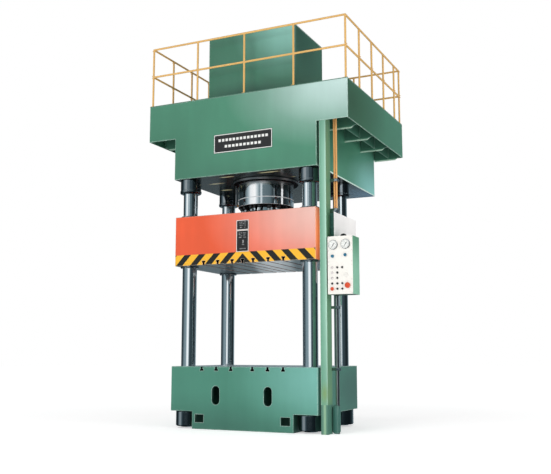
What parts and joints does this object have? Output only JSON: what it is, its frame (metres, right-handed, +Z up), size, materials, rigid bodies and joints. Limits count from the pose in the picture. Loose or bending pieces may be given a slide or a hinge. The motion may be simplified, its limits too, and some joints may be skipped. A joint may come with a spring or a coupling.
{
  "type": "four-column hydraulic press",
  "caption": "Four-column hydraulic press: T-slotted bed, guided slide under a main cylinder, crown with a railed platform and oil tank, control post with gauges and push-buttons.",
  "frame": {"origin": "on the floor, at the centre of the four columns, on the bed's middle rib", "axes": "+X to the right of a person facing the press, +Y to the back, +Z up along the columns"},
  "size_m": [3.7005, 2.988, 6.732],
  "materials": {
    "green_paint": "gloss machine enamel, teal green",
    "deck_plate": "chequered steel plate, green enamel",
    "column_steel": "hard-chromed ground bar",
    "black_steel": "blackened steel",
    "yellow_paint": "yellow safety enamel on tube",
    "plate_black": "black anodised plate with bright border",
    "bright_steel": "turned bright steel",
    "cast_grey": "painted grey casting",
    "motor_paint": "blue-grey enamel",
    "seal_bronze": "bronze-filled ring",
    "pipe_steel": "drawn steel tube",
    "copper": "drawn copper tube",
    "cream_paint": "cream enamel",
    "gauge_case": "plated case, white dial",
    "clear_glass": "clear",
    "pointer_black": "black",
    "blue_plastic": "dark blue",
    "pale_lens": "pale lens",
    "button_black": "black",
    "button_red": "red",
    "orange_paint": "orange-red enamel; machined grey underside; hazard band"
  },
  "bodies": {
    "frame": {"base_bed": "green_paint", "crown_beam": "green_paint", "front_fascia": "green_paint", "platform_sides": "green_paint", "platform_rear": "green_paint", "oil_tank": "green_paint", "tank_lid": "green_paint", "control_post": "green_paint", "control_box": "green_paint", "deck_plate": "deck_plate", "columns": "column_steel", "column_nuts": "black_steel", "crown_collar_nuts": "black_steel", "cylinder_lock_nut": "black_steel", "gland_bolts": "black_steel", "pipe_clamps": "black_steel", "railing_front": "yellow_paint", "railing_right": "yellow_paint", "railing_rear": "yellow_paint", "railing_left": "yellow_paint", "crown_nameplate": "plate_black", "cylinder_barrel": "bright_steel", "cylinder_gland": "bright_steel", "prefill_valve": "cast_grey", "hydraulic_pump": "cast_grey", "valve_block": "cast_grey", "control_valves": "cast_grey", "pump_motor": "motor_paint", "pump_pipes": "pipe_steel", "cylinder_pipe": "pipe_steel", "cable_conduit": "pipe_steel", "filler_breather": "pipe_steel", "copper_pipes": "copper", "side_guard": "cream_paint", "control_panel": "cream_paint", "gauge_cases": "gauge_case", "gauge_glasses": "clear_glass", "pilot_lamps": "pale_lens"},
    "slide": {"slide_block": "orange_paint", "guide_bushes": "black_steel", "ram": "bright_steel", "ram_flange": "black_steel", "ram_flange_bolts": "black_steel", "piston_rings": "seal_bronze", "slide_plates": "plate_black"},
    "pointer_left": {"pointer_left": "pointer_black"},
    "pointer_right": {"pointer_right": "pointer_black"},
    "knob_left": {"knob_left": "blue_plastic"},
    "knob_right": {"knob_right": "blue_plastic"},
    "button_motor_start": {"button_motor_start": "button_black"},
    "button_motor_stop": {"button_motor_stop": "button_black"},
    "button_pump_load": {"button_pump_load": "button_black"},
    "button_pressure": {"button_pressure": "button_black"},
    "button_slide_down": {"button_slide_down": "button_black"},
    "button_slide_up": {"button_slide_up": "button_black"},
    "button_press_hold": {"button_press_hold": "button_black"},
    "button_cushion_up": {"button_cushion_up": "button_black"},
    "button_cushion_down": {"button_cushion_down": "button_black"},
    "cycle_stop": {"button_cycle_stop": "button_red"},
    "emergency": {"emergency_stop": "button_red"}
  },
  "joints": [
    {"name": "slide_travel", "type": "slide", "parent": "frame", "child": "slide", "axis": [0, 0, 1], "range_m": [-1, 0]},
    {"name": "pointer_left_turn", "type": "hinge", "parent": "frame", "child": "pointer_left", "pos_m": [1.56215, -0.875, 2.83035], "axis": [0, 1, 0], "range_deg": [0, 290], "stiffness_Nm_per_rad": 0.01},
    {"name": "pointer_right_turn", "type": "hinge", "parent": "frame", "child": "pointer_right", "pos_m": [1.76194, -0.875, 2.83476], "axis": [0, 1, 0], "range_deg": [0, 290], "stiffness_Nm_per_rad": 0.01},
    {"name": "knob_left_turn", "type": "hinge", "parent": "frame", "child": "knob_left", "pos_m": [1.5521, -0.875, 2.65571], "axis": [0, 1, 0], "range_deg": [-270, 0]},
    {"name": "knob_right_turn", "type": "hinge", "parent": "frame", "child": "knob_right", "pos_m": [1.75752, -0.875, 2.66806], "axis": [0, 1, 0], "range_deg": [-270, 0]},
    {"name": "motor_start_press", "type": "slide", "parent": "frame", "child": "button_motor_start", "axis": [0, 1, 0], "range_m": [0, 0.004], "stiffness_N_per_m": 300},
    {"name": "motor_stop_press", "type": "slide", "parent": "frame", "child": "button_motor_stop", "axis": [0, 1, 0], "range_m": [0, 0.004], "stiffness_N_per_m": 300},
    {"name": "pump_load_press", "type": "slide", "parent": "frame", "child": "button_pump_load", "axis": [0, 1, 0], "range_m": [0, 0.004], "stiffness_N_per_m": 300},
    {"name": "pressure_press", "type": "slide", "parent": "frame", "child": "button_pressure", "axis": [0, 1, 0], "range_m": [0, 0.004], "stiffness_N_per_m": 300},
    {"name": "slide_down_press", "type": "slide", "parent": "frame", "child": "button_slide_down", "axis": [0, 1, 0], "range_m": [0, 0.004], "stiffness_N_per_m": 300},
    {"name": "slide_up_press", "type": "slide", "parent": "frame", "child": "button_slide_up", "axis": [0, 1, 0], "range_m": [0, 0.004], "stiffness_N_per_m": 300},
    {"name": "press_hold_press", "type": "slide", "parent": "frame", "child": "button_press_hold", "axis": [0, 1, 0], "range_m": [0, 0.004], "stiffness_N_per_m": 300},
    {"name": "cushion_up_press", "type": "slide", "parent": "frame", "child": "button_cushion_up", "axis": [0, 1, 0], "range_m": [0, 0.004], "stiffness_N_per_m": 300},
    {"name": "cushion_down_press", "type": "slide", "parent": "frame", "child": "button_cushion_down", "axis": [0, 1, 0], "range_m": [0, 0.004], "stiffness_N_per_m": 300},
    {"name": "cycle_stop_press", "type": "slide", "parent": "frame", "child": "cycle_stop", "axis": [0, 1, 0], "range_m": [0, 0.005], "stiffness_N_per_m": 300},
    {"name": "emergency_press", "type": "slide", "parent": "frame", "child": "emergency", "axis": [0, 1, 0], "range_m": [0, 0.008]}
  ]
}
